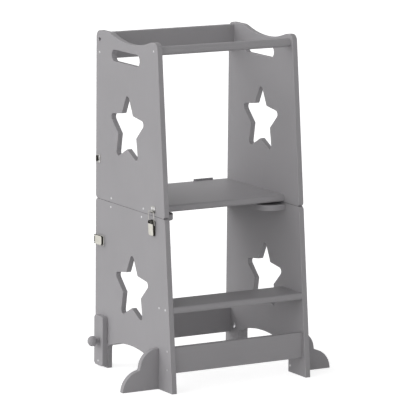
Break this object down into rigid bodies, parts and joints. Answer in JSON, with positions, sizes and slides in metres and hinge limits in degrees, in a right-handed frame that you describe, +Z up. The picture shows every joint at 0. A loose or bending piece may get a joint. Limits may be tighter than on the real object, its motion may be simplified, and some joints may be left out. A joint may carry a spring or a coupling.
{
  "type": "folding toddler kitchen helper tower",
  "caption": "Grey wooden toddler kitchen helper with platform, step, rails and star cut-outs; the upper half folds over backwards into a small table with a seat.",
  "frame": {"origin": "on the floor, in the middle of the overall box of the object standing as a tower", "axes": "+X to the object's right, +Y to the rear, +Z up; the child climbs in from -Y"},
  "size_m": [0.633, 0.4207, 0.9],
  "materials": {
    "grey_paint": "satin grey paint on wood",
    "zinc_steel": "zinc-plated pressed steel",
    "screw_steel": "bright zinc"
  },
  "bodies": {
    "lower_frame": {"lower_panel_left": "grey_paint", "lower_panel_right": "grey_paint", "step_board": "grey_paint", "lower_front_rail": "grey_paint", "lower_rear_rail": "grey_paint", "hinge_rail": "grey_paint", "cleat_left": "grey_paint", "cleat_right": "grey_paint", "foot_left": "grey_paint", "foot_right": "grey_paint", "hinge_leaf_lower_left": "zinc_steel", "hinge_leaf_lower_right": "zinc_steel", "hinge_pin_left": "zinc_steel", "hinge_pin_right": "zinc_steel", "front_latch_base_left": "zinc_steel", "front_latch_base_right": "zinc_steel", "rear_latch_base_left": "zinc_steel", "rear_latch_base_right": "zinc_steel", "turn_bar_bolts": "screw_steel"},
    "upper_frame": {"upper_panel_left": "grey_paint", "upper_panel_right": "grey_paint", "platform_board": "grey_paint", "top_rear_rail": "grey_paint", "front_dowel": "grey_paint", "hinge_leaf_upper_left": "zinc_steel", "hinge_leaf_upper_right": "zinc_steel", "front_strike_left": "zinc_steel", "front_strike_right": "zinc_steel", "rear_strike_left": "zinc_steel", "rear_strike_right": "zinc_steel"},
    "front_lever_left": {"front_latch_lever_left": "zinc_steel"},
    "front_bail_left": {"front_latch_bail_left": "zinc_steel"},
    "rear_lever_left": {"rear_latch_lever_left": "zinc_steel"},
    "rear_bail_left": {"rear_latch_bail_left": "zinc_steel"},
    "turn_bar_left": {"turn_bar_left": "grey_paint"},
    "knob_left": {"knob_left": "grey_paint"},
    "front_lever_right": {"front_latch_lever_right": "zinc_steel"},
    "front_bail_right": {"front_latch_bail_right": "zinc_steel"},
    "rear_lever_right": {"rear_latch_lever_right": "zinc_steel"},
    "rear_bail_right": {"rear_latch_bail_right": "zinc_steel"},
    "turn_bar_right": {"turn_bar_right": "grey_paint"},
    "knob_right": {"knob_right": "grey_paint"}
  },
  "joints": [
    {"name": "fold", "type": "hinge", "parent": "lower_frame", "child": "upper_frame", "pos_m": [0, 0.20715, 0.45], "axis": [-1, 0, 0], "range_deg": [0, 180]},
    {"name": "front_lever_left_turn", "type": "hinge", "parent": "lower_frame", "child": "front_lever_left", "pos_m": [-0.2161, -0.10585, 0.436], "axis": [0, 1, 0], "range_deg": [0, 140]},
    {"name": "front_bail_left_turn", "type": "hinge", "parent": "front_lever_left", "child": "front_bail_left", "pos_m": [-0.2147, -0.10585, 0.428], "axis": [0, 1, 0], "range_deg": [-140, 0]},
    {"name": "rear_lever_left_turn", "type": "hinge", "parent": "lower_frame", "child": "rear_lever_left", "pos_m": [-0.2161, 0.19565, 0.3415], "axis": [0, 0, -1], "range_deg": [0, 140]},
    {"name": "rear_bail_left_turn", "type": "hinge", "parent": "rear_lever_left", "child": "rear_bail_left", "pos_m": [-0.2147, 0.18765, 0.3415], "axis": [0, 0, 1], "range_deg": [-175.7, 0]},
    {"name": "turn_bar_left_swing", "type": "hinge", "parent": "lower_frame", "child": "turn_bar_left", "pos_m": [-0.218, 0.15915, 0.0725], "axis": [1, 0, 0], "range_deg": [0, 90]},
    {"name": "knob_left_turn", "type": "hinge", "parent": "lower_frame", "child": "knob_left", "pos_m": [-0.241, 0.15915, 0.0725], "axis": [-1, 0, 0], "range_deg": [0, 180]},
    {"name": "front_lever_right_turn", "type": "hinge", "parent": "lower_frame", "child": "front_lever_right", "pos_m": [0.2161, -0.10585, 0.436], "axis": [0, -1, 0], "range_deg": [0, 140]},
    {"name": "front_bail_right_turn", "type": "hinge", "parent": "front_lever_right", "child": "front_bail_right", "pos_m": [0.2147, -0.10585, 0.428], "axis": [0, -1, 0], "range_deg": [-140, 0]},
    {"name": "rear_lever_right_turn", "type": "hinge", "parent": "lower_frame", "child": "rear_lever_right", "pos_m": [0.2161, 0.19565, 0.3415], "axis": [0, 0, 1], "range_deg": [0, 140]},
    {"name": "rear_bail_right_turn", "type": "hinge", "parent": "rear_lever_right", "child": "rear_bail_right", "pos_m": [0.2147, 0.18765, 0.3415], "axis": [0, 0, -1], "range_deg": [-175.7, 0]},
    {"name": "turn_bar_right_swing", "type": "hinge", "parent": "lower_frame", "child": "turn_bar_right", "pos_m": [0.218, 0.15915, 0.0725], "axis": [1, 0, 0], "range_deg": [0, 90]},
    {"name": "knob_right_turn", "type": "hinge", "parent": "lower_frame", "child": "knob_right", "pos_m": [0.241, 0.15915, 0.0725], "axis": [1, 0, 0], "range_deg": [0, 180]}
  ],
  "couplings": [
    {"joint": "front_bail_left_turn", "follows": "front_lever_left_turn", "ratio": -1},
    {"joint": "front_bail_right_turn", "follows": "front_lever_right_turn", "ratio": -1}
  ]
}
